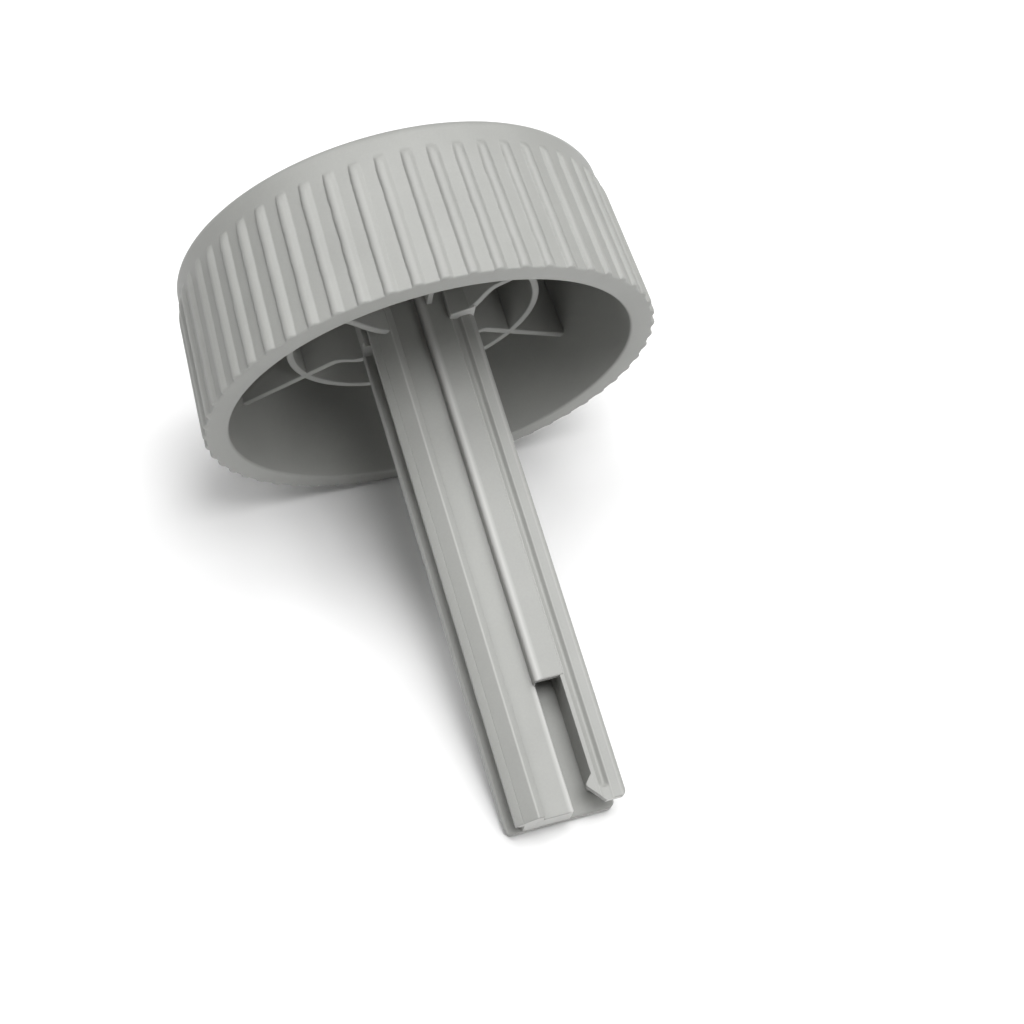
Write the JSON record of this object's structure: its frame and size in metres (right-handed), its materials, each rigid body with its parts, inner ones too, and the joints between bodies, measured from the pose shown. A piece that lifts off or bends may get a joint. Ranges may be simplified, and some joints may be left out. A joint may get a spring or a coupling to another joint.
{
  "type": "control knob with keyed latch stem",
  "caption": "Round ribbed control knob, open at the back, with a long keyed stem that slides into a slot and clips there with a small barbed latch arm.",
  "frame": {"origin": "centre of the flat front face, on the axis of the knob", "axes": "+Z from the front face up along the stem, -Y out of the stem's open channel, -X to the stem's latch side"},
  "size_m": [0.0506, 0.0506, 0.067],
  "materials": {
    "grey_plastic": "fine satin moulded surface, light warm grey"
  },
  "bodies": {
    "knob": {"front_disc": "grey_plastic", "grip_skirt": "grey_plastic", "ring_rib": "grey_plastic", "gusset_front_plain": "grey_plastic", "gusset_front_latch": "grey_plastic", "gusset_back_plain": "grey_plastic", "gusset_back_latch": "grey_plastic", "front_rib": "grey_plastic", "groove_end_plain": "grey_plastic", "root_pad_latch": "grey_plastic", "stem_back_plate": "grey_plastic", "stem_web": "grey_plastic", "side_wall_plain": "grey_plastic", "front_rail_plain": "grey_plastic", "guide_ridge": "grey_plastic", "tunnel_roof": "grey_plastic", "side_wall_latch": "grey_plastic", "front_rail_latch": "grey_plastic"},
    "latch_arm": {"snap_arm": "grey_plastic", "snap_barb": "grey_plastic"}
  },
  "joints": [
    {"name": "latch_flex", "type": "hinge", "parent": "knob", "child": "latch_arm", "pos_m": [-0.00475, 0, 0.0537], "axis": [0, -1, 0], "range_deg": [0, 3.2], "stiffness_Nm_per_rad": 0.05}
  ]
}
